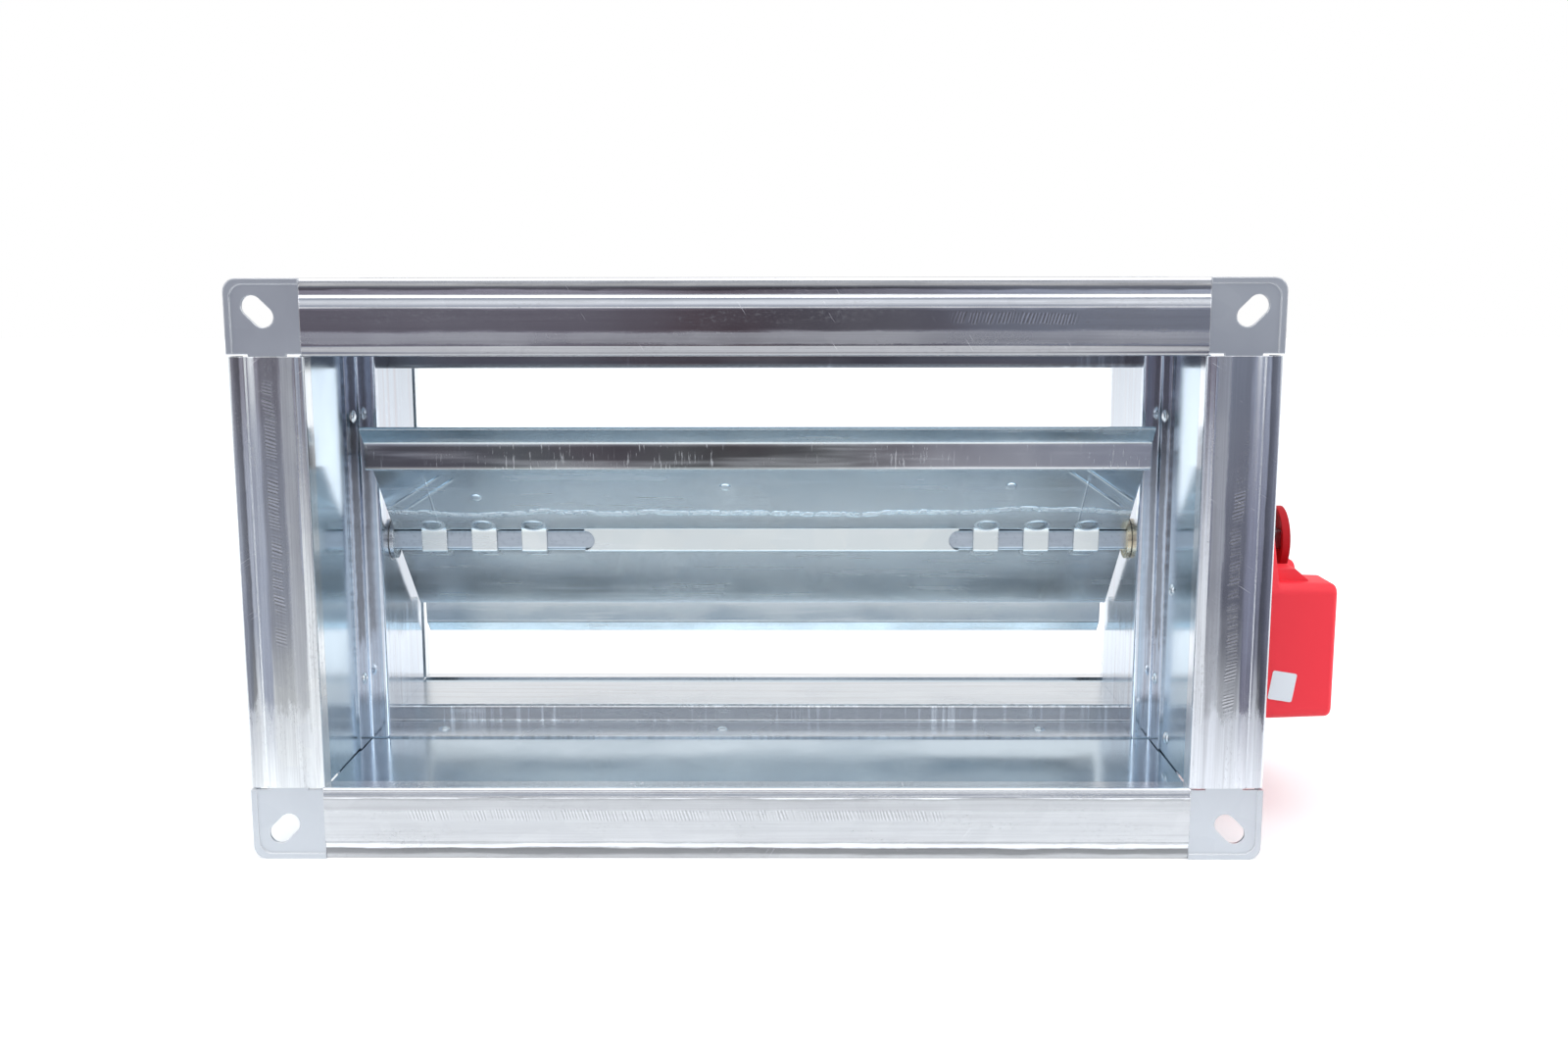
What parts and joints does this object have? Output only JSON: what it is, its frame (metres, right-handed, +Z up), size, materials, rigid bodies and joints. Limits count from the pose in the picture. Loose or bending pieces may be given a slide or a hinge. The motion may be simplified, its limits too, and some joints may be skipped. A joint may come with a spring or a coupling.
{
  "type": "motorized fire damper",
  "caption": "Rectangular duct fire damper: flanged galvanised casing, pivoting ribbed blade on square stub shafts and a red spring-return actuator on the side.",
  "frame": {"origin": "centre of the front flange's bolt slots, in the plane of the front flange face", "axes": "+X across the duct towards the actuator, +Y along the duct from the front flange to the rear one, +Z up"},
  "size_m": [0.5163, 0.21, 0.2666],
  "materials": {
    "casing_sheet": "bright galvanised sheet, almost mirror-like",
    "flange_bar": "bright roll-formed galvanised strip with handling scratches",
    "flange_corner": "satin galvanised pressing",
    "frame_sheet": "bright galvanised sheet",
    "blade_sheet": "galvanised sheet with a soft spangle",
    "shaft_steel": "zinc-plated steel, satin",
    "rivet_steel": "bright steel",
    "bushing_brass": "turned brass",
    "red_housing": "red moulded plastic, fine matt grain",
    "red_ring": "dark red moulded plastic",
    "zinc_fastener": "zinc-plated steel",
    "black_gland": "black moulded plastic"
  },
  "bodies": {
    "casing": {"casing_left": "casing_sheet", "casing_right": "casing_sheet", "casing_top": "casing_sheet", "casing_bottom": "casing_sheet", "front_bar_top": "flange_bar", "front_bar_bottom": "flange_bar", "front_bar_left": "flange_bar", "front_bar_right": "flange_bar", "front_corner_top_left": "flange_corner", "front_corner_top_right": "flange_corner", "front_corner_bottom_left": "flange_corner", "front_corner_bottom_right": "flange_corner", "rear_bar_top": "flange_bar", "rear_bar_bottom": "flange_bar", "rear_bar_left": "flange_bar", "rear_bar_right": "flange_bar", "rear_corner_top_left": "flange_corner", "rear_corner_top_right": "flange_corner", "rear_corner_bottom_left": "flange_corner", "rear_corner_bottom_right": "flange_corner", "frame_left": "frame_sheet", "frame_right": "frame_sheet", "frame_top": "frame_sheet", "frame_bottom": "frame_sheet", "frame_side_rivets": "rivet_steel", "frame_top_rivets": "rivet_steel", "bearing_left": "shaft_steel", "bearing_right": "shaft_steel", "actuator_bracket": "frame_sheet", "bracket_rivets": "rivet_steel", "actuator_base": "red_housing", "actuator_cover": "red_housing", "bracket_screws": "zinc_fastener", "cover_screws": "zinc_fastener", "cable_glands": "black_gland"},
    "blade": {"blade": "blade_sheet", "stub_shaft_left": "shaft_steel", "stub_shaft_right": "shaft_steel", "bushing_left": "shaft_steel", "bushing_right": "bushing_brass", "actuator_hub": "zinc_fastener", "clamp_bridge": "zinc_fastener", "clamp_bolt": "zinc_fastener", "clamp_nuts": "zinc_fastener", "indicator_ring": "red_ring"}
  },
  "joints": [
    {"name": "blade_pivot", "type": "hinge", "parent": "casing", "child": "blade", "pos_m": [0, 0.1045, 0], "axis": [1, 0, 0], "range_deg": [-45, 45]}
  ]
}
